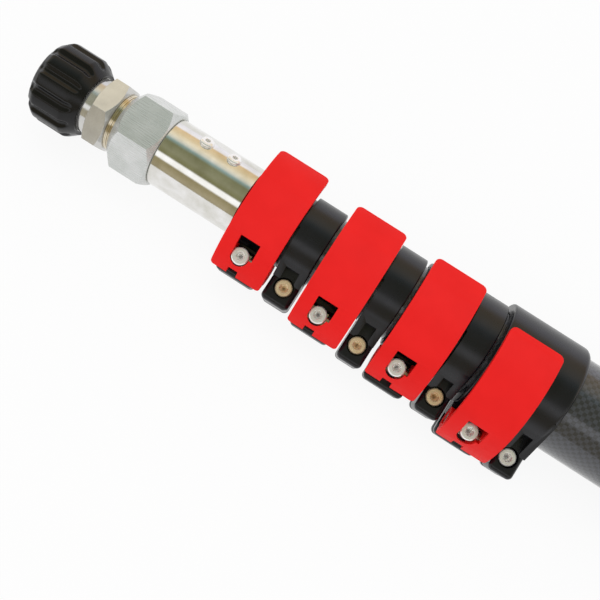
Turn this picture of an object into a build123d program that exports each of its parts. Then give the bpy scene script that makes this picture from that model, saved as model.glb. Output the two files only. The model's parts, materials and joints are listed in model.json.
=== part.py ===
from build123d import *
import math
import os

# Telescopic water-fed pole, collapsed. Millimetres. Modelled along +X (base to tip) with the
# clamp lugs along +Y and the clamp levers facing +Z, then rolled about X as it lies on a floor.

# ---- tubes ----
TUBE_OD = {1: 33.2, 2: 37.6, 3: 42.0, 4: 46.4, 5: 50.8}   # section 1 is the innermost
TUBE_WALL = 1.8
BASE_TUBE_LENGTH = 960.0
CAP_FLOOR = 4.0            # end thickness of the base cap
TAIL_X = 18.0              # base ends of the inner sections when collapsed

# ---- clamps: clamp k sits on tube k+1 and grips tube k ----
GRIP_LENGTH = 28.2
SLIT = 1.4
BAND_LENGTH = {1: 15.6, 2: 14.0, 3: 13.8, 4: 13.6}
RING_WALL = {1: 2.8, 2: 2.8, 3: 2.8, 4: 3.5}
LEVER_SCREW_OUT = {1: 4.35, 2: 5.8, 3: 4.5, 4: 8.55}      # lever screw beyond the ring surface
BAND_SCREW_OUT = {1: 5.5, 2: 7.5, 3: 6.1, 4: 8.8}         # band screw beyond the ring surface
BAND_LUG_BEYOND = {1: 9.6, 2: 10.0, 3: 10.2, 4: 9.4}      # band lug beyond its screw
EAR_BEYOND = {1: 9.9, 2: 9.9, 3: 12.0, 4: 9.4}            # grip lug beyond the hinge
GRIP_STEP = {1: 2.0, 2: 2.0, 3: 2.0, 4: 0.0}              # gripping ring under the band's radius
SECTION_GAP = 1.9          # between neighbouring clamps when collapsed
EAR_INSET_REAR = 4.4
EAR_INSET_FRONT = {1: 1.2, 2: 1.2, 3: 1.2, 4: 0.3}
BAND_RIB = 3.9
LUG_FACE_Z = 7.5
EAR_FACE_Z = -2.5
SPLIT_TOP_Z = -8.0
SPLIT_GAP = 2.0
LUG_BACK_Z = -15.5
LUG_ROUND = 2.6
WEB_HALF_ANGLE = 88.0      # of the web that joins band and grip, about -Y
LIP_LENGTH = 1.5
LIP_CLEARANCE = 0.5

# ---- guide bush in each clamp mouth ----
BUSH_WALL = 1.2
SLIDE_FIT = 0.10           # radial, bush on tube
BUSH_FIT = 0.08            # radial, bush in clamp
BUSH_END_PLAY = 0.3

# ---- lever (one moulding, used four times) ----
LEVER_WIDTH = 28.2
LEVER_ARC_R = 46.0         # outer face
LEVER_ARC_Y = -39.0        # arc centre from the hinge, in the lever's own frame
LEVER_ARC_Z = -6.0
LEVER_PLATE = 2.6
HINGE_Z = 7.5
LEVER_TAIL_DEG = -0.9
LEVER_TIP_DEG = 91.0
LEVER_RING_GAP = {1: 0.5, 2: 0.5, 3: 0.5, 4: 1.8}
HUB_R = 5.8
CAM_OFFSET = 0.45          # hub centre off the hinge, towards the ear when closed
CAM_DEG = -122.0           # its direction in the lever's own frame
SADDLE_GAP = 0.35          # cradle beyond the cam's furthest reach
WINDOW_WIDTH = 11.0
WINDOW_TOP_DEG = 27.0
WINDOW_SEAT_R = 4.95       # half-round lower end that hugs the screw head
WINDOW_SHIFT = 1.1         # window centre towards the tip from the lever's centre
SCREW_SHIFT = 2.1          # lever screw towards the tip from the lever's centre
SHANK_SLOT = 5.5
SLOT_SKIN = 1.6
NOTCH_DEG = 3.7
TIP_CORNER_R = 3.0
TAIL_CORNER_R = 2.0

# ---- screws, pins, nuts ----
M5_R = 2.5
M5_HOLE_R = 2.7
M5_HEAD_R = 4.4
M5_HEAD_H = 5.0
M5_SOCKET_AF = 4.0
M5_SOCKET_DEPTH = 2.6
M5_NUT_AF = 8.0
M5_NUT_H = 4.0
NUT_POCKET_CLEARANCE = 0.15
BAND_SCREW_BACK = 7.5      # band screw ahead of the clamp's rear edge
BAND_HEAD_TOP_Z = 6.7
COUNTERBORE_R = 5.2
BARREL_R = 3.5
BARREL_FIT = 0.05
BARREL_FLAT = 1.2          # flat above the barrel's centre
WASHER_T = 0.8
WASHER_R = 4.3

# ---- tip ----
SLEEVE_OD = 37.0
SLEEVE_FIT = 0.05
SLEEVE_STOP_GAP = 0.8      # sleeve end to the first clamp when collapsed
SLEEVE_LENGTH = 49.2
SLEEVE_SCREW_PITCH = 15.8
SLEEVE_SCREW_FRONT = 17.9  # first screw behind the hex block
SLEEVE_SCREW_DEG = 41.0    # from +Z towards -Y
M4_R = 2.0
M4_HEAD_R = 3.8
M4_HEAD_H = 2.2
M4_SOCKET_AF = 2.5
BLOCK_AF = 40.0
BLOCK_LENGTH = 24.9
BLOCK_TURN_DEG = -19.7     # hex corner from +Z
SPIGOT_LENGTH = 46.0
SPIGOT_FIT = 0.05
WATERWAY_R = 4.0
WASHER_STACK = [(14.2, 1.7), (15.6, 1.7)]                 # radius, thickness of the sealing rings
NIPPLE_AF = 34.5
NIPPLE_HEX_LENGTH = 11.0
NIPPLE_CHAMFER = 2.4
NIPPLE_TURN_DEG = -8.2
NIPPLE_SCREW_R = 8.5
NIPPLE_SCREW_LENGTH = 12.0
COLLAR_R = 15.2
COLLAR_LENGTH = 5.0
COLLAR_SHOWING = 4.6       # collar between the hexagon and the knob
NOSE_R = 7.0
NOSE_LENGTH = 13.0
FLANGE_R = 9.6
KNOB_R = 21.9
KNOB_LENGTH = 27.6
KNOB_FLUTES = 12
KNOB_FLUTE_DEG = 2.0       # first flute from +Z towards +Y
KNOB_FLUTE_R = 2.6
KNOB_FLUTE_OUT = 1.1       # flute centre beyond the knob's surface
NUT_R = 15.4
COUPLING_MINOR_R = 10.2    # M22 x 1.5 female thread, crest radius
NOSE_TO_THREAD = 0.4
THREAD_RELIEF = 0.8        # radial, of the bore behind the thread
SWIVEL_FIT = 0.10
CIRCLIP_WIRE = 1.2
RING_GROOVE = 5.6          # retaining ring ahead of the nipple's collar
TAIL_BARB_R = 5.2
TAIL_LENGTH = 34.0

# ---- base ----
CAP_OVERLAP = 32.0
CAP_FIT = 0.05
HOSE_WAY_R = 14.2
GROMMET_FLANGE = 2.0
GROMMET_WALL = 1.8


def bore_r(k):
    return TUBE_OD[k] / 2 - TUBE_WALL


def tube_r(k):
    return TUBE_OD[k] / 2


def ring_r(k):
    return tube_r(k + 1) + RING_WALL[k]


def lever_screw_y(k):
    return ring_r(k) + LEVER_SCREW_OUT[k]


def band_screw_y(k):
    return ring_r(k) + BAND_SCREW_OUT[k]


def lug_end_y(k):
    return band_screw_y(k) + BAND_LUG_BEYOND[k]


def ear_end_y(k):
    return lever_screw_y(k) + EAR_BEYOND[k]


def grip_r(k):
    return ring_r(k) - GRIP_STEP[k]


def clamp_length(k):
    return GRIP_LENGTH + SLIT + BAND_LENGTH[k]


def clamp_rear_x(k):
    if k == 4:
        return CAP_FLOOR + BASE_TUBE_LENGTH - BAND_LENGTH[4]
    return clamp_rear_x(k + 1) + clamp_length(k + 1) + SECTION_GAP


def clamp_front_x(k):
    return clamp_rear_x(k) + clamp_length(k)


def grip_rear_x(k):
    return clamp_rear_x(k) + BAND_LENGTH[k] + SLIT


def roll_deg():
    """Roll at which the largest ring and its lug's back corner both touch the floor."""
    y = lug_end_y(4) - LUG_ROUND
    z = -LUG_BACK_Z - LUG_ROUND
    reach = math.hypot(y, z)
    return math.degrees(math.asin((ring_r(4) - LUG_ROUND) / reach) - math.atan2(z, y))


def lever_turn_deg(k):
    """Closed angle of lever k: its inner face stands LEVER_RING_GAP off the gripping ring."""
    pivot = math.hypot(lever_screw_y(k), HINGE_Z)
    arm = math.hypot(LEVER_ARC_Y, LEVER_ARC_Z)
    centre = LEVER_ARC_R - LEVER_PLATE - LEVER_RING_GAP[k] - grip_r(k)
    cosine = (pivot ** 2 + arm ** 2 - centre ** 2) / (2 * pivot * arm)
    lean = math.atan2(-LEVER_ARC_Z, -LEVER_ARC_Y)
    return math.degrees(math.atan2(HINGE_Z, lever_screw_y(k)) + math.acos(cosine) - lean)


# ---- small makers, all along +X unless named otherwise ----

def rod(r, x0, x1):
    return Pos(x0, 0, 0) * extrude(Plane.YZ * Circle(r), x1 - x0)


def pipe(r_out, r_in, x0, x1):
    return rod(r_out, x0, x1) - rod(r_in, x0 - 1, x1 + 1)


def hex_rod(af, x0, x1, turn):
    face = Plane.YZ * (Rot(0, 0, turn) * RegularPolygon(af / 2, 6, major_radius=False, rotation=30))
    return Pos(x0, 0, 0) * extrude(face, x1 - x0)


def block(x0, x1, y0, y1, z0, z1):
    return Pos((x0 + x1) / 2, (y0 + y1) / 2, (z0 + z1) / 2) * Box(x1 - x0, y1 - y0, z1 - z0)


def post(x, y, r, z0, z1):
    return Pos(x, y, (z0 + z1) / 2) * Cylinder(r, z1 - z0)


def hex_post(x, y, af, z0, z1):
    face = RegularPolygon(af / 2, 6, major_radius=False)
    return Pos(x, y, z0) * extrude(face, z1 - z0)


def turned(points):
    """Solid of revolution about X from (x, radius) points."""
    face = make_face(Polyline([(x, r, 0) for x, r in points] + [(points[0][0], points[0][1], 0)]))
    return revolve(face, Axis.X)


def slab(points, x0, x1):
    """Prism along X from (y, z) points."""
    return Pos(x0, 0, 0) * extrude(Plane.YZ * Polygon(*points, align=None), x1 - x0, dir=(1, 0, 0))


def cap_screw(x, y, head_top, shank_end):
    seat = head_top - M5_HEAD_H
    head = post(x, y, M5_HEAD_R, seat, head_top)
    head = fillet(head.edges().filter_by(GeomType.CIRCLE).group_by(Axis.Z)[-1], 0.5)
    head -= hex_post(x, y, M5_SOCKET_AF, head_top - M5_SOCKET_DEPTH, head_top + 1)
    return head + post(x, y, M5_R, shank_end, seat)


def nut(x, y, z0):
    body = hex_post(x, y, M5_NUT_AF, z0, z0 + M5_NUT_H)
    return body - post(x, y, M5_R + 0.02, z0 - 1, z0 + M5_NUT_H + 1)


# ---- clamp body ----

def lug_prism(y_in, y_end, z0, z1, x0, x1):
    body = block(x0, x1, y_in, y_end, z0, z1)
    ends = body.edges().filter_by(Axis.X).group_by(Axis.Y)[-1]
    body = fillet(ends, LUG_ROUND)
    corners = body.edges().filter_by(GeomType.LINE).filter_by(Axis.Z).group_by(Axis.Y)[-1]
    return fillet(corners, LUG_ROUND) if corners else body


def band_ribs(k, x0, x1):
    r = ring_r(k)
    start = math.radians(61)
    foot_y = band_screw_y(k) - 3.0
    outline = [(r * math.cos(start), 0), (r * math.cos(start), r * math.sin(start)),
               (foot_y, LUG_FACE_Z + 0.6), (foot_y, 0)]
    return slab(outline, x0, x1)


def band_pocket(k, x0, x1):
    """Flat floor between the two ribs, from the step in the ring to the screw."""
    step_y = math.sqrt(tube_r(k + 1) ** 2 - (LUG_FACE_Z - 1.4) ** 2)
    return block(x0 + BAND_RIB, x1 - BAND_RIB, step_y, lug_end_y(k), LUG_FACE_Z, ring_r(k))


def slit_cutter(k):
    x0 = clamp_rear_x(k) + BAND_LENGTH[k]
    big = lug_end_y(k) + 2
    half = math.radians(180 - WEB_HALF_ANGLE)
    far = 2 * big
    outline = [(0, 0), (far * math.cos(half), far * math.sin(half)), (far, far), (far, -far),
               (far * math.cos(half), -far * math.sin(half))]
    return slab(outline, x0, x0 + SLIT) & rod(far, x0, x0 + SLIT)


def clamp_body(k):
    x0 = clamp_rear_x(k)
    x1 = clamp_front_x(k)
    xb = x0 + BAND_LENGTH[k]
    xg = grip_rear_x(k)
    r = ring_r(k)
    shell = rod(r, x0, xb + SLIT / 2)
    shell = fillet(shell.edges().filter_by(GeomType.CIRCLE).group_by(Axis.X)[0], CLAMP_SHOULDER[k])
    grip = rod(grip_r(k), xb + SLIT / 2, x1)
    shell += fillet(grip.edges().filter_by(GeomType.CIRCLE).group_by(Axis.X)[-1], 1.0)
    lug_y = tube_r(k + 1)
    body = shell + lug_prism(lug_y - 6, lug_end_y(k), LUG_BACK_Z, LUG_FACE_Z, x0 + 0.3, xb)
    body += band_ribs(k, x0 + 0.3, xb)
    body -= band_pocket(k, x0 + 0.3, xb)
    ear_x0 = xg + EAR_INSET_REAR
    ear_x1 = x1 - EAR_INSET_FRONT[k]
    body += lug_prism(lug_y - 6, ear_end_y(k), LUG_BACK_Z, EAR_FACE_Z, ear_x0, ear_x1)
    body += block(ear_x0, ear_x1, lug_y - 6, lever_screw_y(k) - 2.0, EAR_FACE_Z - 1, HINGE_Z - 4)
    cradle = HUB_R + CAM_OFFSET + SADDLE_GAP
    body -= Pos(0, lever_screw_y(k), HINGE_Z) * rod(cradle, xg, x1 + 1)
    # bores
    body -= rod(tube_r(k + 1) + SPIGOT_FIT, x0 - 1, xb)
    body -= rod(bush_out_r(k) + BUSH_FIT, xb - 0.01, x1 - LIP_LENGTH)
    body -= rod(tube_r(k) + LIP_CLEARANCE, x1 - LIP_LENGTH - 1, x1 + 1)
    # splits
    body -= slit_cutter(k)
    body -= block(x0 - 1, x1 + 1, 0, lug_end_y(k) + 9, SPLIT_TOP_Z - SPLIT_GAP, SPLIT_TOP_Z)
    # band screw
    bx = x0 + BAND_SCREW_BACK
    by = band_screw_y(k)
    body -= post(bx, by, COUNTERBORE_R, BAND_HEAD_TOP_Z - M5_HEAD_H, r)
    body -= post(bx, by, M5_HOLE_R, LUG_BACK_Z - 1, LUG_FACE_Z)
    pocket = M5_NUT_AF + 2 * NUT_POCKET_CLEARANCE
    body -= hex_post(bx, by, pocket, LUG_BACK_Z - 1, LUG_BACK_Z + M5_NUT_H)
    # lever screw
    sx = lever_screw_x(k)
    sy = lever_screw_y(k)
    body -= post(sx, sy, M5_HOLE_R, LUG_BACK_Z - 1, HINGE_Z)
    body -= hex_post(sx, sy, pocket, LUG_BACK_Z - 1, LUG_BACK_Z + M5_NUT_H)
    return body


CLAMP_SHOULDER = {1: 0.8, 2: 0.8, 3: 0.8, 4: 3.0}


def bush_out_r(k):
    return tube_r(k) + SLIDE_FIT + BUSH_WALL


def guide_bush(k):
    x0 = clamp_rear_x(k) + BAND_LENGTH[k] + BUSH_END_PLAY
    x1 = clamp_front_x(k) - LIP_LENGTH - BUSH_END_PLAY
    return pipe(bush_out_r(k), tube_r(k) + SLIDE_FIT, x0, x1)


def lever_x0(k):
    return grip_rear_x(k) + (GRIP_LENGTH - LEVER_WIDTH) / 2


def lever_screw_x(k):
    return lever_x0(k) + LEVER_WIDTH / 2 + SCREW_SHIFT


# ---- lever, drawn about its hinge in (y, z) ----

def on_arc(r, deg):
    a = math.radians(deg)
    return (LEVER_ARC_Y + r * math.cos(a), LEVER_ARC_Z + r * math.sin(a))


def arc_plate(r_out, r_in, deg0, deg1):
    mid = (deg0 + deg1) / 2
    outer = ThreePointArc(on_arc(r_out, deg0), on_arc(r_out, mid), on_arc(r_out, deg1))
    inner = ThreePointArc(on_arc(r_in, deg1), on_arc(r_in, mid), on_arc(r_in, deg0))
    ends = [Line(on_arc(r_out, deg1), on_arc(r_in, deg1)), Line(on_arc(r_in, deg0), on_arc(r_out, deg0))]
    return make_face([outer, ends[0], inner, ends[1]])


def lever():
    w = LEVER_WIDTH
    r_in = LEVER_ARC_R - LEVER_PLATE
    section = Plane.YZ * arc_plate(LEVER_ARC_R, r_in, LEVER_TAIL_DEG, LEVER_TIP_DEG)
    plate = extrude(section, w, dir=(1, 0, 0))
    tip_y, tip_z = on_arc(LEVER_ARC_R, LEVER_TIP_DEG)
    short = [e for e in plate.edges() if abs(e.length - LEVER_PLATE) < 1e-3]
    tip_edges = [e for e in short if e.center().Z > tip_z / 2]
    plate = fillet(tip_edges, TIP_CORNER_R)
    short = [e for e in plate.edges() if abs(e.length - LEVER_PLATE) < 1e-3 and e.center().Z < 0]
    plate = fillet(short, TAIL_CORNER_R)
    lobe = math.radians(CAM_DEG)
    hub = Pos(0, CAM_OFFSET * math.cos(lobe), CAM_OFFSET * math.sin(lobe)) * rod(HUB_R, 0, w)
    body = plate + hub
    xw = w / 2 + WINDOW_SHIFT
    upper = [(-2.15, -2.35), (13.5, 14.73), on_arc(LEVER_ARC_R + 2, WINDOW_TOP_DEG),
             on_arc(r_in - 0.4, WINDOW_TOP_DEG), (-9, 13), (-9, -2.35)]
    body -= slab(upper, xw - WINDOW_WIDTH / 2, xw + WINDOW_WIDTH / 2)
    xs = w / 2 + SCREW_SHIFT
    lower = [(4.5, -2.45), (12.4, 6.0), (12.4, 18.4), (-9, 18.4), (-9, -2.45)]
    seat = Pos(xs, 0, 0) * Rot(-42.5, 0, 0) * post(0, 0, WINDOW_SEAT_R, -3, 16)
    body -= slab(lower, xw - WINDOW_WIDTH / 2, xw + WINDOW_WIDTH / 2) & seat
    slot = slab([(-12, -12), (-12, -0.5), (0, 0.5), (6.2, 0.5), (8, -12)],
                xs - SHANK_SLOT / 2, xs + SHANK_SLOT / 2)
    skin = Pos(0, LEVER_ARC_Y, LEVER_ARC_Z) * rod(LEVER_ARC_R - SLOT_SKIN, 0, w)
    body -= slot & skin
    body -= slab([on_arc(r_in - 2, NOTCH_DEG), on_arc(LEVER_ARC_R + 2, NOTCH_DEG),
                  (8.6, -12), (2.6, -12)], xs - SHANK_SLOT / 2, xs + SHANK_SLOT / 2)
    return body - rod(BARREL_R + BARREL_FIT, -1, w + 1)


def place_lever(k, shape):
    return Pos(lever_x0(k), lever_screw_y(k), HINGE_Z) * Rot(lever_turn_deg(k), 0, 0) * shape


def barrel_pin(k):
    x0 = lever_x0(k) + 0.4
    x1 = lever_x0(k) + LEVER_WIDTH - 0.4
    y = lever_screw_y(k)
    pin = Pos(0, y, HINGE_Z) * rod(BARREL_R, x0, x1)
    xs = lever_screw_x(k)
    seat = WINDOW_WIDTH / 2 - 1.0
    pin -= block(xs - seat, xs + seat, y - 9, y + 9, HINGE_Z + BARREL_FLAT, HINGE_Z + 9)
    return pin - post(xs, y, M5_HOLE_R - 0.1, HINGE_Z - 9, HINGE_Z + 9)


def lever_washer(k):
    z = HINGE_Z + BARREL_FLAT
    ring = post(lever_screw_x(k), lever_screw_y(k), WASHER_R, z, z + WASHER_T)
    return ring - post(lever_screw_x(k), lever_screw_y(k), M5_R + 0.05, z - 1, z + 2)


# ---- tubes ----

def tube_front_x(k):
    return clamp_rear_x(k - 1) + BAND_LENGTH[k - 1] if k > 1 else block_rear_x() - 0.2


def section_tube(k):
    x0 = CAP_FLOOR if k == 5 else TAIL_X
    return pipe(tube_r(k), bore_r(k), x0, tube_front_x(k))


# ---- tip ----

def sleeve_rear_x():
    return clamp_front_x(1) + SLEEVE_STOP_GAP


def block_rear_x():
    return sleeve_rear_x() + SLEEVE_LENGTH


def block_front_x():
    return block_rear_x() + BLOCK_LENGTH


def nipple_rear_x():
    return block_front_x() + sum(t for _, t in WASHER_STACK)


def knob_rear_x():
    return nipple_rear_x() + NIPPLE_HEX_LENGTH + COLLAR_SHOWING


def sleeve_screw_xs():
    first = block_rear_x() - SLEEVE_SCREW_FRONT
    return [first, first - SLEEVE_SCREW_PITCH]


def radial(shape, x):
    return Pos(x, 0, 0) * Rot(SLEEVE_SCREW_DEG, 0, 0) * shape


def tip_sleeve():
    x0 = sleeve_rear_x()
    body = pipe(SLEEVE_OD / 2, tube_r(1) + SLEEVE_FIT, x0, block_rear_x())
    rims = body.edges().filter_by(GeomType.CIRCLE).filter_by(lambda e: e.radius > tube_r(1) + 1)
    body = chamfer(rims, 0.6)
    for x in sleeve_screw_xs():
        body -= radial(post(0, 0, M4_R + 0.1, 0, SLEEVE_OD), x)
        body -= radial(post(0, 0, M4_HEAD_R + 0.3, SLEEVE_OD / 2 - 0.5, SLEEVE_OD), x)
    return body


def sleeve_screws():
    seat = SLEEVE_OD / 2 - 0.5
    pair = None
    for x in sleeve_screw_xs():
        head = post(0, 0, M4_HEAD_R, seat, seat + M4_HEAD_H)
        head = fillet(head.edges().filter_by(GeomType.CIRCLE).group_by(Axis.Z)[-1], 1.5)
        head -= hex_post(0, 0, M4_SOCKET_AF, seat + 0.9, seat + 9)
        shank = post(0, 0, M4_R, bore_r(1) - 6, seat)
        screw = radial(head + shank, x)
        pair = screw if pair is None else pair + screw
    return pair


def tube_1_with_holes():
    body = section_tube(1)
    for x in sleeve_screw_xs():
        body -= radial(post(0, 0, M4_R + 0.1, 0, SLEEVE_OD), x)
    return body


def hex_block():
    x0 = block_rear_x()
    x1 = block_front_x()
    body = hex_rod(BLOCK_AF, x0, x1, BLOCK_TURN_DEG)
    corner = BLOCK_AF / 2 / math.cos(math.pi / 6)
    flat = BLOCK_AF / 2
    body &= turned([(x0, 0), (x0, flat - 0.6), (x0 + 3.2, corner + 0.1), (x1 - 5.5, corner + 0.1),
                    (x1, flat - 3.0), (x1, 0)])
    body += rod(bore_r(1) - SPIGOT_FIT, x0 - SPIGOT_LENGTH, x0 + 1)
    body -= rod(WATERWAY_R, x0 - SPIGOT_LENGTH - 1, x1 + 1)
    body -= rod(NIPPLE_SCREW_R, x1 - NIPPLE_SCREW_LENGTH - 0.3, x1 + 1)
    body -= rod(6.6, x0 - SPIGOT_LENGTH - 1, x0 - SPIGOT_LENGTH + 11)
    for x in sleeve_screw_xs():
        body -= radial(post(0, 0, M4_R + 0.02, bore_r(1) - 7, SLEEVE_OD), x)
    return body


def sealing_ring(i):
    x = block_front_x() + sum(t for _, t in WASHER_STACK[:i])
    r, t = WASHER_STACK[i]
    body = pipe(r, NIPPLE_SCREW_R + 0.1, x, x + t)
    rims = body.edges().filter_by(GeomType.CIRCLE).filter_by(lambda e: e.radius > r - 0.1)
    return fillet(rims, 0.4)


def hex_nipple():
    x0 = nipple_rear_x()
    x1 = x0 + NIPPLE_HEX_LENGTH
    corner = NIPPLE_AF / 2 / math.cos(math.pi / 6)
    body = hex_rod(NIPPLE_AF, x0, x1, NIPPLE_TURN_DEG)
    body &= turned([(x0, 0), (x0, NIPPLE_AF / 2 - 0.9), (x0 + NIPPLE_CHAMFER, corner + 0.1),
                    (x1 - 1.4, corner + 0.1), (x1, NIPPLE_AF / 2 - 0.2), (x1, 0)])
    body += rod(COLLAR_R, x1, x1 + COLLAR_LENGTH)
    body += rod(NIPPLE_SCREW_R, x0 - sum(t for _, t in WASHER_STACK) - NIPPLE_SCREW_LENGTH, x0 + 1)
    neck = x1 + COLLAR_LENGTH
    body += rod(FLANGE_R, neck, neck + NOSE_LENGTH - 5)
    body += rod(NOSE_R, neck, neck + NOSE_LENGTH)
    body -= rod(WATERWAY_R, x0 - 40, neck + NOSE_LENGTH + 1)
    ring_x = neck + RING_GROOVE
    body -= pipe(FLANGE_R + 1, FLANGE_R - 0.72, ring_x - 0.05, ring_x + CIRCLIP_WIRE + 0.05)
    groove = neck + NOSE_LENGTH - 3.4
    return body - pipe(NOSE_R + 1, NOSE_R - 1.4, groove, groove + 2.2)


def coupling_o_ring():
    x = nipple_rear_x() + NIPPLE_HEX_LENGTH + COLLAR_LENGTH + NOSE_LENGTH - 3.4 + 1.1
    return Pos(x, 0, 0) * Rot(0, 90, 0) * Torus(NOSE_R - 0.45, 0.95)


def neck_x():
    return nipple_rear_x() + NIPPLE_HEX_LENGTH + COLLAR_LENGTH


def coupling_nut():
    x0 = neck_x() + 0.4
    x1 = knob_rear_x() + KNOB_LENGTH - 2.0
    body = rod(NUT_R, x0, x1)
    thread_x = neck_x() + NOSE_LENGTH + NOSE_TO_THREAD
    body -= rod(FLANGE_R + SWIVEL_FIT, x0 - 1, x0 + 5.0)
    body -= rod(COUPLING_MINOR_R + THREAD_RELIEF, x0 + 4.9, thread_x)
    body -= rod(COUPLING_MINOR_R, thread_x - 0.1, x1 + 1)
    return body


def retaining_ring():
    """Open spring ring that keeps the coupling nut on the nipple's neck."""
    x = neck_x() + RING_GROOVE
    ring = pipe(COUPLING_MINOR_R - 0.15, FLANGE_R - 0.7, x, x + CIRCLIP_WIRE)
    return ring - block(x - 1, x + 3, -1.5, 1.5, 0, COUPLING_MINOR_R + 1)


def coupling_knob():
    x0 = knob_rear_x()
    x1 = x0 + KNOB_LENGTH
    round_front = 4.5
    body = turned([(x0, 0), (x0, KNOB_R - 5.4), (x0 + 5.0, KNOB_R - 0.8), (x0 + 6.5, KNOB_R),
                   (x1 - round_front, KNOB_R), (x1 - 1.2, KNOB_R - 2.6), (x1, KNOB_R - 5.0), (x1, 0)])
    for i in range(KNOB_FLUTES):
        a = math.radians(KNOB_FLUTE_DEG) + 2 * math.pi * i / KNOB_FLUTES
        reach = KNOB_R + KNOB_FLUTE_OUT
        body -= Pos(0, reach * math.sin(a), reach * math.cos(a)) * rod(KNOB_FLUTE_R, x0 - 1, x1 + 1)
    body -= rod(NUT_R + 0.0, neck_x() + 0.4, x1 - 2.0)
    body -= rod(COLLAR_R + 1.6, x0 - 1, neck_x() + 0.4)
    return body - rod(COUPLING_MINOR_R + 1.4, x1 - 3, x1 + 1)


def hose_tail():
    x1 = block_rear_x() - SPIGOT_LENGTH
    x0 = x1 - TAIL_LENGTH
    points = [(x1 + 10, 3.0), (x1 + 10, 6.55), (x1, 6.55), (x1, 9.0), (x1 - 6, 9.0), (x1 - 6, 4.4)]
    x = x1 - 8
    while x - 6 > x0:
        points += [(x, 4.4), (x, TAIL_BARB_R), (x - 5, 4.4)]
        x -= 6
    points += [(x0, 4.0), (x0, 3.0)]
    return turned(points)


# ---- base ----

def base_cap():
    r_out = ring_r(4)
    body = rod(r_out, 0, CAP_FLOOR + CAP_OVERLAP)
    body = fillet(body.edges().filter_by(GeomType.CIRCLE), 2.2)
    body -= rod(tube_r(5) + CAP_FIT, CAP_FLOOR, CAP_FLOOR + CAP_OVERLAP + 1)
    return body - rod(HOSE_WAY_R + GROMMET_WALL, -1, CAP_FLOOR + 1)


def hose_grommet():
    r = HOSE_WAY_R + GROMMET_WALL
    body = pipe(r, HOSE_WAY_R, 0, CAP_FLOOR)
    return body + pipe(r + 2.5, HOSE_WAY_R, CAP_FLOOR, CAP_FLOOR + GROMMET_FLANGE)


def all_parts():
    parts = {"base_cap": base_cap(), "hose_grommet": hose_grommet(), "tube_1": tube_1_with_holes()}
    moulding = lever()
    for k in (1, 2, 3, 4):
        parts[f"tube_{k + 1}"] = section_tube(k + 1)
        parts[f"guide_bush_{k}"] = guide_bush(k)
        parts[f"clamp_body_{k}"] = clamp_body(k)
        band_x = clamp_rear_x(k) + BAND_SCREW_BACK
        parts[f"band_screw_{k}"] = cap_screw(band_x, band_screw_y(k), BAND_HEAD_TOP_Z, LUG_BACK_Z + 0.5)
        parts[f"band_nut_{k}"] = nut(band_x, band_screw_y(k), LUG_BACK_Z)
        parts[f"lever_{k}"] = place_lever(k, moulding)
        parts[f"barrel_pin_{k}"] = barrel_pin(k)
        head_top = HINGE_Z + BARREL_FLAT + WASHER_T + M5_HEAD_H
        sx, sy = lever_screw_x(k), lever_screw_y(k)
        parts[f"lever_screw_{k}"] = cap_screw(sx, sy, head_top, LUG_BACK_Z + 0.5)
        parts[f"lever_washer_{k}"] = lever_washer(k)
        parts[f"lever_nut_{k}"] = nut(sx, sy, LUG_BACK_Z)
    parts["tip_sleeve"] = tip_sleeve()
    parts["sleeve_screws"] = sleeve_screws()
    parts["hex_block"] = hex_block()
    parts["sealing_ring"] = sealing_ring(0)
    parts["lock_ring"] = sealing_ring(1)
    parts["hex_nipple"] = hex_nipple()
    parts["coupling_o_ring"] = coupling_o_ring()
    parts["retaining_ring"] = retaining_ring()
    parts["coupling_nut"] = coupling_nut()
    parts["coupling_knob"] = coupling_knob()
    parts["hose_tail"] = hose_tail()
    return parts


def main():
    os.makedirs("parts", exist_ok=True)
    roll = Rot(-roll_deg(), 0, 0)
    for name, shape in all_parts().items():
        export_step(roll * shape, f"parts/{name}.step")
    print("roll", roll_deg(), "length", knob_rear_x() + KNOB_LENGTH)
    for k in (1, 2, 3, 4):
        print("clamp", k, "rear", clamp_rear_x(k), "front", clamp_front_x(k), "lever x", lever_x0(k),
              "hinge y", lever_screw_y(k), "turn", lever_turn_deg(k))


main()
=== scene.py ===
import json
import math

import bmesh
import bpy
import numpy as np
from bpy.props import FloatProperty, FloatVectorProperty, IntProperty, PointerProperty
from mathutils import Matrix, Vector


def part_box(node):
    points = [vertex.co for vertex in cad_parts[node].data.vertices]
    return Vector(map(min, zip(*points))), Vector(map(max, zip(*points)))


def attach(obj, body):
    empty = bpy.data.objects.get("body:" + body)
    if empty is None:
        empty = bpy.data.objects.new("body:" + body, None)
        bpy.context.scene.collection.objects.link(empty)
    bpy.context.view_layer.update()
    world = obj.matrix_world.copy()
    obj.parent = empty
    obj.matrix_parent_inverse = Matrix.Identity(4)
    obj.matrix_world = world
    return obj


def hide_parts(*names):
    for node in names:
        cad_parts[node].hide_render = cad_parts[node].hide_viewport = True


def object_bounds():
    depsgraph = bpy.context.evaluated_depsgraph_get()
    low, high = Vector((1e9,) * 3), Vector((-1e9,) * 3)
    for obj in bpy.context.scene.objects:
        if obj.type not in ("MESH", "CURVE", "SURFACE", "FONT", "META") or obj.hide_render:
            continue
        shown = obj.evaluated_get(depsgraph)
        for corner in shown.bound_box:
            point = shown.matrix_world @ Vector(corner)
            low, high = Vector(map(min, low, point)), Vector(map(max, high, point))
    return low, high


bl_info = {
    "name": "Telescopic Window Cleaning Pole",
    "version": (1, 0, 0),
    "blender": (4, 5, 0),
    "location": "3D View > Sidebar > Pole",
    "description": "Builds the finishes and detailed pieces of a telescopic water-fed pole",
    "category": "Object",
}

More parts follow.
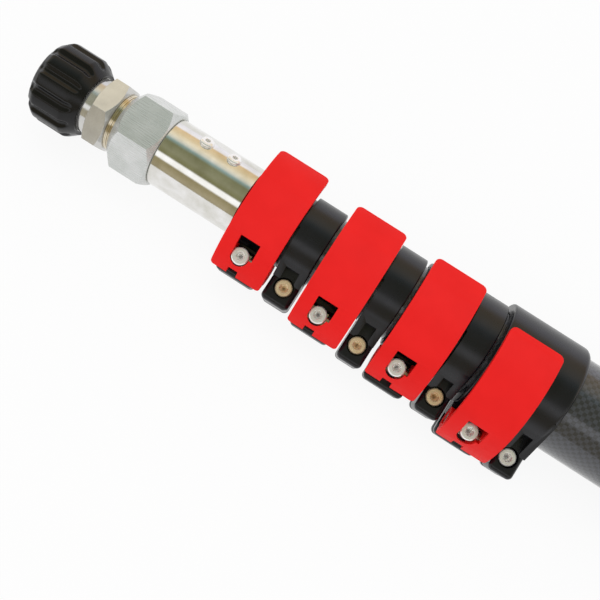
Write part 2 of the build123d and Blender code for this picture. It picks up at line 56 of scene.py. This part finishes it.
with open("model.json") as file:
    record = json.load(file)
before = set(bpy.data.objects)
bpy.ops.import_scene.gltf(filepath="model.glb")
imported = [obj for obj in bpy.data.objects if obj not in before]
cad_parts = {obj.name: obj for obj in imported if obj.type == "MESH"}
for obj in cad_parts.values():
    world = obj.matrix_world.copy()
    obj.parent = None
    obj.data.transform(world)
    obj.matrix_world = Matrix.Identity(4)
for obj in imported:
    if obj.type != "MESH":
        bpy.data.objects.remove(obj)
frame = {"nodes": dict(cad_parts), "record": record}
NODES = frame["nodes"]
RECORD = frame["record"]
BODY_OF = {n: b for b, names in RECORD["behaviour"]["bodies"].items() for n in names}
SLOT_OF = {s["node"]: s["material_slot"] for s in RECORD["subparts"]}
CAD_BOX = [list(v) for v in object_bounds()]

MM = 0.001
ROLL = math.radians(18.42)      # how far the pole is rolled about its own axis as it lies
AXIS = Vector((1.0, 0.0, 0.0))
SIDE = Vector((0.0, math.cos(ROLL), -math.sin(ROLL)))   # towards the clamps' screw lugs
UP = Vector((0.0, math.sin(ROLL), math.cos(ROLL)))      # out of the clamps' lever side


FLOOR_GLOW = 0.9                # how much of the floor is lit evenly, as paper in a light tent is

# the camera in the pole's own directions: along AXIS, SIDE and UP
CAMERA_AT = (1.0671, 0.05905, 0.40879)                  # metres
CAMERA_AHEAD = (0.04154, -0.07776, -0.99611)
CAMERA_TOP = (0.53863, -0.83795, 0.08787)


# ---------------------------------------------------------------- colour and nodes

def linear(code, alpha=1.0):
    """sRGB hex to linear: divide by 12.92 below 0.04045, else ((c + 0.055) / 1.055) to the power 2.4."""
    c = np.array([int(code[i:i + 2], 16) for i in (1, 3, 5)]) / 255.0
    c = np.where(c <= 0.04045, c / 12.92, ((c + 0.055) / 1.055) ** 2.4)
    return (float(c[0]), float(c[1]), float(c[2]), alpha)


def add(tree, kind, settings=None, **links):
    """Adds one node: settings are its properties, links are its input values or sockets by name."""
    node = tree.nodes.new(kind)
    for key, value in (settings or {}).items():
        setattr(node, key, value)
    for key, value in links.items():
        name = key.replace("_", " ")
        target = node.inputs[int(key[1:])] if key[0] == "i" and key[1:].isdigit() else node.inputs[name]
        if isinstance(value, bpy.types.NodeSocket):
            tree.links.new(value, target)
        else:
            target.default_value = value
    return node


def new_material(name, **surface):
    """A Principled surface with its constants set on its own sockets."""
    mat = bpy.data.materials.new(name)
    mat.use_nodes = True
    tree = mat.node_tree
    shader = tree.nodes["Principled BSDF"]
    for key, value in surface.items():
        shader.inputs[key.replace("_", " ")].default_value = value
    return mat, tree, shader


def mm_coords(tree, scale=(1.0, 1.0, 1.0)):
    """Object coordinates in millimetres, times a scale per axis."""
    coords = add(tree, "ShaderNodeTexCoord")
    scaled = add(tree, "ShaderNodeVectorMath", {"operation": "MULTIPLY"}, i0=coords.outputs["Object"])
    scaled.inputs[1].default_value = tuple(1000.0 * s for s in scale)
    return scaled.outputs["Vector"]


def noise(tree, where, size_mm, detail=3.0, rough=0.5):
    """Noise whose blobs are size_mm across."""
    node = add(tree, "ShaderNodeTexNoise", None, Vector=where, Scale=1.0 / size_mm, Detail=detail,
               Roughness=rough)
    return node.outputs["Fac"]


def ramp(tree, value, stops, mode="LINEAR"):
    node = add(tree, "ShaderNodeValToRGB", None, Fac=value)
    node.color_ramp.interpolation = mode
    while len(node.color_ramp.elements) < len(stops):
        node.color_ramp.elements.new(0.5)
    for element, (pos, colour) in zip(node.color_ramp.elements, stops):
        element.position = pos
        element.color = colour
    return node.outputs["Color"]


def grey(v):
    return (v, v, v, 1.0)


def span(tree, value, low, high):
    node = add(tree, "ShaderNodeMapRange", None, Value=value)
    node.inputs["To Min"].default_value = low
    node.inputs["To Max"].default_value = high
    return node.outputs["Result"]


def bump(tree, shader, height, distance_mm, strength=1.0):
    node = add(tree, "ShaderNodeBump", None, Height=height, Strength=strength, Distance=distance_mm * MM)
    tree.links.new(node.outputs["Normal"], shader.inputs["Normal"])
    return node


def math_node(tree, op, a, b=0.0, c=0.0):
    return add(tree, "ShaderNodeMath", {"operation": op}, i0=a, i1=b, i2=c).outputs["Value"]


def carbon_tube():
    """Carbon fibre tube, plain-woven tows under a polished clear epoxy coat: a fine grey chequer of painted
    sheen, the two thread directions drawn lighter and darker in the colour as they would catch the light in
    turn, under one sharp gloss."""
    tow = 2.0                    # mm, width of one tow
    radius = 25.4                # mm
    mat, tree, shader = new_material("carbon fibre, plain weave, epoxy coated", Roughness=0.42,
                                     Coat_Weight=1.0, Coat_Roughness=0.07, IOR=1.5)
    where = mm_coords(tree)
    xyz = add(tree, "ShaderNodeSeparateXYZ", None, Vector=where)
    angle = math_node(tree, "ARCTAN2", xyz.outputs["Y"], xyz.outputs["Z"])
    cells = round(2 * math.pi * radius / tow)
    u = math_node(tree, "DIVIDE", xyz.outputs["X"], tow)
    v = math_node(tree, "MULTIPLY", angle, cells / (2 * math.pi))
    fu = math_node(tree, "FRACT", u)
    fv = math_node(tree, "FRACT", v)
    iu = math_node(tree, "FLOOR", u)
    iv = math_node(tree, "FLOOR", v)
    odd = math_node(tree, "MODULO", math_node(tree, "ADD", math_node(tree, "ADD", iu, iv), 1000.0), 2.0)
    # a tow's cross-section is a hump across its width
    hump_u = math_node(tree, "SINE", math_node(tree, "MULTIPLY", fu, math.pi))
    hump_v = math_node(tree, "SINE", math_node(tree, "MULTIPLY", fv, math.pi))
    across = math_node(tree, "MULTIPLY", odd, hump_u)
    along = math_node(tree, "MULTIPLY", math_node(tree, "SUBTRACT", 1.0, odd), hump_v)
    height = math_node(tree, "ADD", across, along)
    fibres = noise(tree, mm_coords(tree, (0.35, 1.0, 1.0)), 0.5, 2.0)
    # the odd cells are drawn lighter: painted sheen of the tows that face the light, added to the fibres'
    # random tone
    weave_sheen_share, fibre_share = 0.55, 0.35       # of the tone
    tone = math_node(tree, "ADD", math_node(tree, "MULTIPLY", odd, weave_sheen_share),
                     math_node(tree, "MULTIPLY", fibres, fibre_share))
    colour = ramp(tree, tone, [(0.0, linear("#15161A")), (1.0, linear("#3B3E47"))])
    tree.links.new(colour, shader.inputs["Base Color"])
    bump(tree, shader, height, 0.10, 0.6)
    return mat


def moulded(name, dark, light, rough, grain_mm, grain_depth, coat=0.0, gloss=0.5):
    """A moulded plastic: broad soft tone changes from the flow in the mould, and a fine texture from its wall.
    gloss is the bare surface's mirror level, coat a thin sheen over it."""
    mat, tree, shader = new_material(name, IOR=1.5, Coat_Weight=coat, Coat_Roughness=0.25,
                                     Specular_IOR_Level=gloss)
    where = mm_coords(tree)
    flow = noise(tree, where, 14.0, 2.0)
    colour = ramp(tree, flow, [(0.3, linear(dark)), (0.7, linear(light))])
    tree.links.new(colour, shader.inputs["Base Color"])
    fine = noise(tree, where, grain_mm, 3.0, 0.6)
    sheen = span(tree, noise(tree, where, 5.0, 3.0), rough - 0.05, rough + 0.06)
    tree.links.new(sheen, shader.inputs["Roughness"])
    bump(tree, shader, fine, grain_depth, 0.5)
    return mat


def metal(name, dark, light, rough, spread, lay_mm=(0.6, 0.6, 0.6), depth=0.004, bloom=0.0):
    """A bare or plated metal: its colour drifts a little, and its lay is a stretched fine noise. bloom is
    the share that scatters light, as plating and anodising do."""
    mat, tree, shader = new_material(name, Metallic=1.0 - bloom)
    where = mm_coords(tree)
    tree.links.new(ramp(tree, noise(tree, where, 9.0, 3.0), [(0.3, linear(dark)), (0.7, linear(light))]),
                   shader.inputs["Base Color"])
    lay = noise(tree, mm_coords(tree, tuple(1.0 / s for s in lay_mm)), 1.0, 3.0, 0.6)
    tree.links.new(span(tree, lay, rough, rough + spread), shader.inputs["Roughness"])
    bump(tree, shader, lay, depth, 0.6)
    return mat


def turned_metal(name, dark, light, rough, ring_mm, depth):
    """A metal faced on a lathe: fine rings along the pole's axis."""
    mat, tree, shader = new_material(name, Metallic=1.0, Roughness=rough)
    where = mm_coords(tree)
    xyz = add(tree, "ShaderNodeSeparateXYZ", None, Vector=where)
    rings = math_node(tree, "SINE", math_node(tree, "MULTIPLY", xyz.outputs["X"], 2 * math.pi / ring_mm))
    blur = noise(tree, where, 3.0, 2.0)
    colour = ramp(tree, blur, [(0.3, linear(dark)), (0.7, linear(light))])
    tree.links.new(colour, shader.inputs["Base Color"])
    bump(tree, shader, math_node(tree, "MULTIPLY", rings, blur), depth, 0.5)
    return mat


def make_finishes():
    """One finish for each material slot of the record."""
    return {
        "carbon_tube": carbon_tube(),
        # glass-filled nylon, injection moulded: near black, a soft wide sheen; the slight blue cast of its
        # colour is painted reflection of a cool light
        "clamp_black": moulded("glass-filled nylon, moulded", "#0B0C12", "#12131B", 0.28, 0.35, 0.010,
                               0.05, 0.42),
        # ABS, injection moulded in solid red: even colour, satin sheen
        "lever_red": moulded("red ABS, moulded", "#EC1311", "#F21715", 0.45, 0.5, 0.004, 0.0, 0.22),
        # acetal, moulded: black and slightly waxy
        "bush_plastic": moulded("acetal, moulded", "#121315", "#1A1B1E", 0.35, 0.4, 0.004),
        # steel, bright zinc plated: silvery with a slight bloom
        "screw_zinc": metal("steel, bright zinc plated", "#EDEBE8", "#FAF9F7", 0.15, 0.10, bloom=0.42),
        # steel, zinc plated and yellow passivated: pale gold
        "screw_zinc_gold": metal("steel, yellow passivated zinc", "#E6C79A", "#F6E2BE", 0.20, 0.12,
                                 bloom=0.5),
        # free-cutting steel bar, turned: grey and bright
        "pin_steel": metal("steel bar, turned", "#BDB7A8", "#D8D3C6", 0.20, 0.12),
        # stainless tube, polished: a clear mirror with a faint drawn lay along the pole
        "sleeve_chrome": metal("stainless tube, polished", "#D2D0C8", "#ECEBEA", 0.07, 0.05,
                               (9.0, 0.6, 0.6), 0.0015),
        # aluminium bar, milled and anodised clear: pale, satin, faint cutter marks along the flats
        "block_aluminium": metal("aluminium bar, clear anodised", "#C9CCC9", "#DADBDA", 0.22, 0.12,
                                 (9.0, 0.4, 0.4), 0.010, bloom=0.4),
        # brass, nickel plated: bright with a warm cast
        "nickel_brass": metal("brass, nickel plated", "#C6C5C2", "#D6D5D2", 0.12, 0.08, bloom=0.25),
        "washer_steel": turned_metal("steel ring, turned and plated", "#D2C6AC", "#E4DCCB", 0.16, 0.5,
                                     0.01),
        # ABS hand grip, moulded: black, a little glossier than the clamps
        "knob_black": moulded("black ABS, moulded", "#0A0A0B", "#100F11", 0.24, 0.5, 0.006, 0.0, 0.32),
        "seal_rubber": moulded("nitrile rubber, moulded", "#141414", "#1D1D1D", 0.62, 0.3, 0.01),
        "cap_black": moulded("soft vinyl, dip moulded", "#18181A", "#202022", 0.55, 0.6, 0.03),
        "brass_tail": metal("brass bar, turned", "#B1934D", "#C6AA66", 0.22, 0.12),
    }


FINISHES = {}


# ---------------------------------------------------------------- shapes

def put_mesh(name, points, faces):
    mesh = bpy.data.meshes.new(name)
    mesh.from_pydata(points.reshape(-1, 3).tolist(), [], faces)
    mesh.update()
    bm = bmesh.new()
    bm.from_mesh(mesh)
    bmesh.ops.remove_doubles(bm, verts=bm.verts, dist=2e-6)
    bmesh.ops.recalc_face_normals(bm, faces=bm.faces)
    bm.to_mesh(mesh)
    bm.free()
    obj = bpy.data.objects.new(name, mesh)
    bpy.context.scene.collection.objects.link(obj)
    return obj


def grid_faces(rows, cols, first=0):
    """Quads of a grid of rows x cols points whose both directions close on themselves."""
    i, j = np.meshgrid(np.arange(rows), np.arange(cols), indexing="ij")
    a = i * cols + j
    b = ((i + 1) % rows) * cols + j
    c = ((i + 1) % rows) * cols + (j + 1) % cols
    d = i * cols + (j + 1) % cols
    return (np.stack([a, b, c, d], axis=-1).reshape(-1, 4) + first).tolist()


def rounded(profile, radii, steps=5):
    """A closed profile with each corner replaced by an arc of its radius, set by the tangent points."""
    pts = np.array(profile, float)
    out = []
    n = len(pts)
    for i in range(n):
        p, a, b, r = pts[i], pts[i - 1], pts[(i + 1) % n], radii[i]
        if r <= 0:
            out.append(p[None])
            continue
        u, w = (a - p) / np.linalg.norm(a - p), (b - p) / np.linalg.norm(b - p)
        half = math.acos(np.clip(u @ w, -1, 1)) / 2
        cut = min(r / math.tan(half), 0.49 * np.linalg.norm(a - p), 0.49 * np.linalg.norm(b - p))
        r = cut * math.tan(half)
        centre = p + (u + w) / np.linalg.norm(u + w) * r / math.sin(half)
        s, e = p + u * cut - centre, p + w * cut - centre
        a0 = math.atan2(s[1], s[0])
        turn = (math.atan2(e[1], e[0]) - a0 + math.pi) % (2 * math.pi) - math.pi
        t = a0 + turn * np.linspace(0, 1, steps)
        out.append(centre + r * np.stack([np.cos(t), np.sin(t)], axis=1))
    return np.concatenate(out)


def frame_at(centre, axis, across):
    """Matrix whose x runs along axis and whose z is across made square to it."""
    x = Vector(axis).normalized()
    z = (Vector(across) - x * Vector(across).dot(x)).normalized()
    y = z.cross(x)
    m = Matrix((x, y, z)).transposed().to_4x4()
    m.translation = Vector(centre)
    return m


def turn_profile(name, profile, place, turns=96, radius_of=None):
    """A closed profile of (x, r) in mm carried round its x axis: the point at angle a is
    (x, r sin a, r cos a), where r may first be changed by radius_of(x, r, a)."""
    a = np.linspace(0, 2 * math.pi, turns, endpoint=False)
    x = np.repeat(profile[:, 0][:, None], turns, axis=1)
    r = np.repeat(profile[:, 1][:, None], turns, axis=1)
    if radius_of is not None:
        x, r = radius_of(x, r, a[None, :])
    pts = np.stack([x, r * np.sin(a), r * np.cos(a)], axis=-1) * MM
    m = np.array(place)
    pts = pts @ m[:3, :3].T + m[:3, 3]
    return put_mesh(name, pts, grid_faces(len(profile), turns))


def shade(obj, angle=35.0):
    obj.data.shade_smooth()
    obj.data.set_sharp_from_angle(angle=math.radians(angle))


def finish_piece(obj, node, slot=None, hide=()):
    """Gives the piece its finish, its body and the CAD nodes it stands for."""
    slot = slot or SLOT_OF[node]
    obj.data.materials.clear()
    obj.data.materials.append(FINISHES[slot])
    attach(obj, BODY_OF[node])
    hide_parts(node, *hide)
    return obj


def softened(node, width_mm, name=None, angle=32.0, segments=3):
    """A merged copy of a CAD node with its sharp edges rounded to width_mm."""
    mesh = NODES[node].data.copy()
    obj = bpy.data.objects.new(name or node + "_moulded", mesh)
    bpy.context.scene.collection.objects.link(obj)
    bm = bmesh.new()
    bm.from_mesh(mesh)
    bmesh.ops.remove_doubles(bm, verts=bm.verts, dist=3e-6)
    bmesh.ops.dissolve_limit(bm, angle_limit=math.radians(0.6), verts=bm.verts, edges=bm.edges)
    bm.to_mesh(mesh)
    bm.free()
    if hasattr(mesh, "free_normals_split"):
        mesh.free_normals_split()
    shade(obj, angle)
    bevel = obj.modifiers.new("edge rounding", "BEVEL")
    bevel.width = width_mm * MM
    bevel.segments = segments
    bevel.limit_method = "ANGLE"
    bevel.angle_limit = math.radians(angle)
    bevel.use_clamp_overlap = True
    bevel.harden_normals = True
    bevel.miter_outer = "MITER_ARC"
    return finish_piece(obj, node)


def hex_radius(a, across_flats):
    """Radius of a hexagon's edge at angle a: half the flats over the cosine of the angle to the nearest
    flat."""
    near = (a + math.pi / 6) % (math.pi / 3) - math.pi / 6
    return across_flats / 2 / np.cos(near)


def screw(name, node, seat, axis, head_r, head_h, socket, socket_depth, shank_r, shank_l, dome=0.0):
    """A socket screw about its own axis, x = 0 at the head's seat: a profile from the shank's end up its
    side, over the head and down a hexagonal socket, whose radius blends from circle to hexagon."""
    inner = socket / 2 * 0.96
    edge = 0.12 * head_r
    body = [(-shank_l, 0.001), (-shank_l, shank_r - 0.4), (-shank_l + 0.4, shank_r), (0.0, shank_r),
            (0.0, head_r)]
    radii = [0, 0, 0, 0.1, 0.25]
    if dome:
        t = np.linspace(0.12, 1.0, 7)
        rr = head_r + (inner * 1.25 - head_r) * t
        xx = head_h * np.sqrt(np.clip(1 - (1 - t) ** 2 * dome, 0, 1))
        body += list(zip(xx.tolist(), rr.tolist()))
        radii += [0.0] * 7
    else:
        body += [(head_h - edge, head_r), (head_h, head_r - edge), (head_h, inner * 1.25)]
        radii += [0.25, 0.25, 0.1]
    body += [(head_h - 0.25, inner * 1.1), (head_h - socket_depth, inner * 1.1),
             (head_h - socket_depth - 0.5, 0.001)]
    radii += [0.08, 0.1, 0]
    profile = rounded(body, radii, 4)
    limit = inner * 1.18
    rows_in = (profile[:, 1] < limit) & (profile[:, 0] > head_h - socket_depth - 0.3)

    def carve(x, r, a):
        hexed = r * hex_radius(a, 2.0) / 1.1
        return x, np.where(rows_in[:, None], hexed, r)

    obj = turn_profile(name, profile, frame_at(seat, axis, AXIS), 72, carve)
    shade(obj, 40.0)
    return finish_piece(obj, node)


def plate_piece(node, profile, radii, steps=5, turns=160, angle=30.0):
    """A ring or tube about the pole's own axis, from a profile with rounded corners."""
    obj = turn_profile(node + "_turned", rounded(profile, radii, steps), Matrix.Identity(4), turns)
    shade(obj, angle)
    return finish_piece(obj, node)


def x_span(node):
    lo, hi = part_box(node)
    return lo.x / MM, hi.x / MM


# ---------------------------------------------------------------- settings

class PoleSettings(bpy.types.PropertyGroup):
    """Sizes a user would change."""
    lever_edge: FloatProperty(name="Lever edge", description="Rounding of the levers' edges, in mm",
                              default=0.7, min=0.0, max=1.5)
    clamp_edge: FloatProperty(name="Clamp edge", description="Rounding of the clamps' edges, in mm",
                              default=0.5, min=0.0, max=1.2)
    metal_edge: FloatProperty(name="Metal edge", description="Rounding of the metal edges, in mm",
                              default=0.25, min=0.0, max=1.0)
    flutes: IntProperty(name="Knob flutes", description="Finger flutes round the hand grip", default=12)
    flute_depth: FloatProperty(name="Flute depth", description="Depth of a finger flute, in mm",
                               default=1.6)


class StageSettings(bpy.types.PropertyGroup):
    """The light and the view."""
    lens: FloatProperty(name="Lens", description="Focal length on a 36 mm sensor", default=49.27,
                        unit="CAMERA")
    floor_colour: FloatVectorProperty(name="Floor", description="Colour of the floor", subtype="COLOR",
                                      default=linear("#F4F4F4")[:3])
    key_power: FloatProperty(name="Key lamp", description="Power of the large lamp overhead", default=3.2,
                             unit="POWER")
    sky: FloatProperty(name="Room light", description="Strength of the room's light", default=0.85)
    strips: FloatProperty(name="Strips", description="Strength of the strips that shiny pieces mirror",
                          default=1.25)


# ---------------------------------------------------------------- operators

class POLE_OT_finishes(bpy.types.Operator):
    """Make the finishes and give each CAD node its own."""
    bl_idname = "pole.finishes"
    bl_label = "Finishes"

    def execute(self, context):
        FINISHES.update(make_finishes())
        for name, obj in NODES.items():
            obj.data.materials.clear()
            obj.data.materials.append(FINISHES[SLOT_OF[name]])
        return {"FINISHED"}


class POLE_OT_levers(bpy.types.Operator):
    """Red moulded levers with rounded edges."""
    bl_idname = "pole.levers"
    bl_label = "Levers"

    def execute(self, context):
        for k in (1, 2, 3, 4):
            softened(f"lever_{k}", context.scene.pole.lever_edge)
        return {"FINISHED"}


class POLE_OT_clamps(bpy.types.Operator):
    """Black moulded clamp bodies with rounded edges."""
    bl_idname = "pole.clamps"
    bl_label = "Clamp bodies"

    def execute(self, context):
        for k in (1, 2, 3, 4):
            softened(f"clamp_body_{k}", context.scene.pole.clamp_edge)
        return {"FINISHED"}


class POLE_OT_screws(bpy.types.Operator):
    """Socket head screws of the levers and bands."""
    bl_idname = "pole.screws"
    bl_label = "Screws"

    def execute(self, context):
        for k in (1, 2, 3, 4):
            for kind in ("lever", "band"):
                node = f"{kind}_screw_{k}"
                co = np.array([v.co for v in NODES[node].data.vertices])
                h = co @ np.array(UP)
                s = co @ np.array(SIDE)
                mid_x = (co[:, 0].min() + co[:, 0].max()) / 2
                mid_s = (s.min() + s.max()) / 2
                seat = AXIS * mid_x + SIDE * mid_s + UP * (h.max() - 5.0 * MM)
                screw(node + "_turned", node, seat, UP, 4.4, 5.0, 4.0, 2.6, 2.5,
                      (h.max() - h.min()) / MM - 5.0)
        return {"FINISHED"}


class POLE_OT_tip(bpy.types.Operator):
    """Sleeve, hexagons and rings of the metal tip."""
    bl_idname = "pole.tip"
    bl_label = "Metal tip"

    def execute(self, context):
        edge = context.scene.pole.metal_edge
        softened("hex_block", edge, "hex_block_milled", 18.0)
        softened("hex_nipple", edge, "hex_nipple_milled", 18.0)
        x0, x1 = x_span("tip_sleeve")
        plate_piece("tip_sleeve", [(x0, 16.66), (x1, 16.66), (x1, 18.5), (x0, 18.5)], [0.2, 0.2, 0.5, 0.7])
        # each ring shows two rounded ridges with a shallow groove between
        for node, r in (("sealing_ring", 15.2), ("lock_ring", 15.6)):
            a, b = x_span(node)
            mid = (a + b) / 2
            plate_piece(node, [(a, 8.6), (b, 8.6), (b, r), (mid + 0.25, r), (mid, r - 0.5), (mid - 0.25, r),
                               (a, r)], [0.1, 0.1, 0.3, 0.2, 0.1, 0.2, 0.3])
        return {"FINISHED"}


class POLE_OT_sleeve_screws(bpy.types.Operator):
    """The two button-head screws of the sleeve, as one piece."""
    bl_idname = "pole.sleeve_screws"
    bl_label = "Sleeve screws"

    def execute(self, context):
        softened("sleeve_screws", 0.15, "sleeve_screws_formed", 30.0, 2)
        return {"FINISHED"}


class POLE_OT_knob(bpy.types.Operator):
    """The fluted hand grip: a profile turned round the pole's axis, its outside hollowed by finger flutes,
    each a cosine dip across its width with a rounded end."""
    bl_idname = "pole.knob"
    bl_label = "Hand grip"

    def execute(self, context):
        s = context.scene.pole
        x0, x1 = x_span("coupling_knob")
        bore_x = x_span("coupling_nut")[0]
        profile = [(x0, 16.8), (x0, 17.2), (x0 + 4.8, 21.0), (x0 + 6.5, 21.9), (x1 - 4.5, 21.9),
                   (x1 - 1.2, 19.3), (x1, 16.9), (x1, 11.6), (x1 - 2.0, 11.6), (x1 - 2.0, 15.42),
                   (bore_x, 15.42), (bore_x, 16.8)]
        radii = [0.3, 0.5, 2.5, 2.5, 4.0, 3.0, 1.5, 0.6, 0.1, 0.1, 0.1, 0.3]
        base = rounded(profile, radii, 9)
        n = 90
        outside = base[:, 1] > 17.2
        # even steps along x on the long outer run, so that a flute's rounded end has points to bend
        keep = [base[0]]
        for p, q in zip(base[:-1], base[1:]):
            steps = max(1, int(abs(q[0] - p[0]) / 0.5)) if min(p[1], q[1]) > 17.2 else 1
            keep.extend(p + (q - p) * t for t in (np.arange(1, steps + 1) / steps))
        base = np.array(keep)
        count, depth = s.flutes, s.flute_depth

        def flute(x, r, a):
            turned = a - ROLL - math.radians(2.0)
            near = (turned + math.pi / count) % (2 * math.pi / count) - math.pi / count
            side = near * 21.9
            ahead = np.clip(x0 + 5.0 - x, 0, None)
            d = np.clip(np.sqrt(side ** 2 + ahead ** 2) / 3.3, 0, 1)
            hollow = 0.5 * (1 + np.cos(math.pi * d ** 1.3)) * depth
            bite = np.clip((r - 17.2) / 3.0, 0, 1)
            return x, r - bite * hollow

        obj = turn_profile("coupling_knob_moulded", base, Matrix.Identity(4), 400, flute)
        shade(obj, 50.0)
        finish_piece(obj, "coupling_knob")
        return {"FINISHED"}


class POLE_OT_tubes(bpy.types.Operator):
    """The outermost carbon tube as one smooth turned piece, and the base cap."""
    bl_idname = "pole.tubes"
    bl_label = "Outer tube and cap"

    def execute(self, context):
        x0, x1 = x_span("tube_5")
        plate_piece("tube_5", [(x0, 23.6), (x1, 23.6), (x1, 25.4), (x0, 25.4)], [0.1] * 4, 2, 256)
        softened("base_cap", 0.4, "base_cap_moulded", 30.0)
        return {"FINISHED"}


class POLE_OT_stage(bpy.types.Operator):
    """Floor, lamps, room light and camera."""
    bl_idname = "pole.stage"
    bl_label = "Stage"

    def execute(self, context):
        s = context.scene.pole_stage
        self.floor(s)
        self.lamps(s)
        self.room(s)
        self.camera(s)
        context.scene.view_settings.view_transform = "Standard"
        return {"FINISHED"}

    def floor(self, s):
        low = CAD_BOX[0][2]
        size = 6.0
        mesh = bpy.data.meshes.new("floor")
        corners = [(-size, -size, low), (size, -size, low), (size, size, low), (-size, size, low)]
        mesh.from_pydata(corners, [], [(0, 1, 2, 3)])
        obj = bpy.data.objects.new("floor", mesh)
        bpy.context.scene.collection.objects.link(obj)
        mat, tree, shader = new_material("floor paper", Roughness=0.9)
        shader.inputs["Base Color"].default_value = (*s.floor_colour, 1.0)
        path = add(tree, "ShaderNodeLightPath")
        glow = add(tree, "ShaderNodeEmission", None, Color=grey(1.0), Strength=1.0)
        eye = math_node(tree, "MAXIMUM", path.outputs["Is Camera Ray"], path.outputs["Is Glossy Ray"])
        share = math_node(tree, "MULTIPLY", eye, FLOOR_GLOW)
        mix = add(tree, "ShaderNodeMixShader", None, Fac=share, i1=shader.outputs["BSDF"],
                  i2=glow.outputs["Emission"])
        tree.links.new(mix.outputs["Shader"], tree.nodes["Material Output"].inputs["Surface"])
        obj.data.materials.append(mat)

    def lamps(self, s):
        for name, place, size, power in (("key", (0.9, -0.25, 1.3), 1.1, s.key_power),
                                         ("fill", (1.5, 0.7, 0.8), 0.8, s.key_power * 0.35)):
            data = bpy.data.lights.new(name, "AREA")
            data.shape = "SQUARE"
            data.size = size
            data.energy = power
            obj = bpy.data.objects.new(name, data)
            obj.visible_glossy = False
            obj.location = place
            obj.rotation_euler = (Vector((1.1, 0, 0)) - Vector(place)).to_track_quat("-Z", "Y").to_euler()
            bpy.context.scene.collection.objects.link(obj)

    def room(self, s):
        """A studio whose walls and ceiling are long strips beside the pole: tone depends on the angle about
        the pole's axis, from straight down on the far side, over the top, to straight down on the lug
        side."""
        world = bpy.data.worlds.new("studio")
        world.use_nodes = True
        bpy.context.scene.world = world
        tree = world.node_tree
        tree.nodes.clear()
        coords = add(tree, "ShaderNodeTexCoord")
        xyz = add(tree, "ShaderNodeSeparateXYZ", None, Vector=coords.outputs["Generated"])
        angle = math_node(tree, "ARCTAN2", xyz.outputs["Y"], xyz.outputs["Z"])
        turn = math_node(tree, "ADD", math_node(tree, "DIVIDE", angle, 2 * math.pi), 0.5)

        def at(degrees):
            return 0.5 + (26.0 + degrees) / 360.0

        strips = [(at(-125), "#E9E8F2"), (at(-97), "#F1EFF4"), (at(-91), "#D9BE93"), (at(-74), "#DCC9A4"),
                  (at(-60), "#E9DFC6"), (at(-50), "#D2D2C6"), (at(-42), "#88A09E"), (at(-32), "#78795A"),
                  (at(-8), "#86866A"), (at(10), "#74734E"), (at(14.5), "#FFFFFF"), (at(28), "#FFFFFF"),
                  (at(33), "#8F8562"), (at(56), "#A2987C"), (at(78), "#8A8570"), (at(84), "#DEDCE6"),
                  (at(120), "#EAE9F0")]
        tone = ramp(tree, turn, [(p, linear(c)) for p, c in strips])
        lit = add(tree, "ShaderNodeBackground", None, Color=tone, Strength=s.strips)
        plain = add(tree, "ShaderNodeBackground", None, Color=grey(1.0), Strength=1.0)
        soft = add(tree, "ShaderNodeBackground", None, Color=grey(0.9), Strength=s.sky)
        path = add(tree, "ShaderNodeLightPath")
        by_gloss = add(tree, "ShaderNodeMixShader", None, Fac=path.outputs["Is Glossy Ray"],
                       i1=soft.outputs["Background"], i2=lit.outputs["Background"])
        out = add(tree, "ShaderNodeMixShader", None, Fac=path.outputs["Is Camera Ray"],
                  i1=by_gloss.outputs["Shader"], i2=plain.outputs["Background"])
        end = add(tree, "ShaderNodeOutputWorld")
        tree.links.new(out.outputs["Shader"], end.inputs["Surface"])

    def camera(self, s):
        data = bpy.data.cameras.new("camera")
        data.lens = s.lens
        data.sensor_width = 36.0
        data.clip_start = 0.01
        obj = bpy.data.objects.new("camera", data)
        obj.location = AXIS * CAMERA_AT[0] + SIDE * CAMERA_AT[1] + UP * CAMERA_AT[2]
        ahead = AXIS * CAMERA_AHEAD[0] + SIDE * CAMERA_AHEAD[1] + UP * CAMERA_AHEAD[2]
        top = AXIS * CAMERA_TOP[0] + SIDE * CAMERA_TOP[1] + UP * CAMERA_TOP[2]
        right = ahead.cross(top)
        obj.rotation_euler = Matrix((right, top, -ahead)).transposed().to_euler()
        bpy.context.scene.collection.objects.link(obj)
        bpy.context.scene.camera = obj


STEPS = (POLE_OT_finishes, POLE_OT_tubes, POLE_OT_clamps, POLE_OT_levers, POLE_OT_screws,
         POLE_OT_sleeve_screws, POLE_OT_tip, POLE_OT_knob, POLE_OT_stage)


class POLE_PT_panel(bpy.types.Panel):
    """Lists the pieces in the order they are made."""
    bl_label = "Window cleaning pole"
    bl_idname = "POLE_PT_panel"
    bl_space_type = "VIEW_3D"
    bl_region_type = "UI"
    bl_category = "Pole"

    def draw(self, context):
        for group in (context.scene.pole, context.scene.pole_stage):
            for name in group.__annotations__:
                self.layout.prop(group, name)
        for step in STEPS:
            self.layout.operator(step.bl_idname)


CLASSES = (PoleSettings, StageSettings, *STEPS, POLE_PT_panel)


def register():
    for cls in CLASSES:
        bpy.utils.register_class(cls)
    bpy.types.Scene.pole = PointerProperty(type=PoleSettings)
    bpy.types.Scene.pole_stage = PointerProperty(type=StageSettings)


def unregister():
    del bpy.types.Scene.pole_stage
    del bpy.types.Scene.pole
    for cls in reversed(CLASSES):
        bpy.utils.unregister_class(cls)


def main():
    register()
    for step in STEPS:
        area, name = step.bl_idname.split(".")
        if getattr(getattr(bpy.ops, area), name)() != {"FINISHED"}:
            raise RuntimeError(f"{step.bl_label} did not finish")


if __name__ == "__main__":
    main()
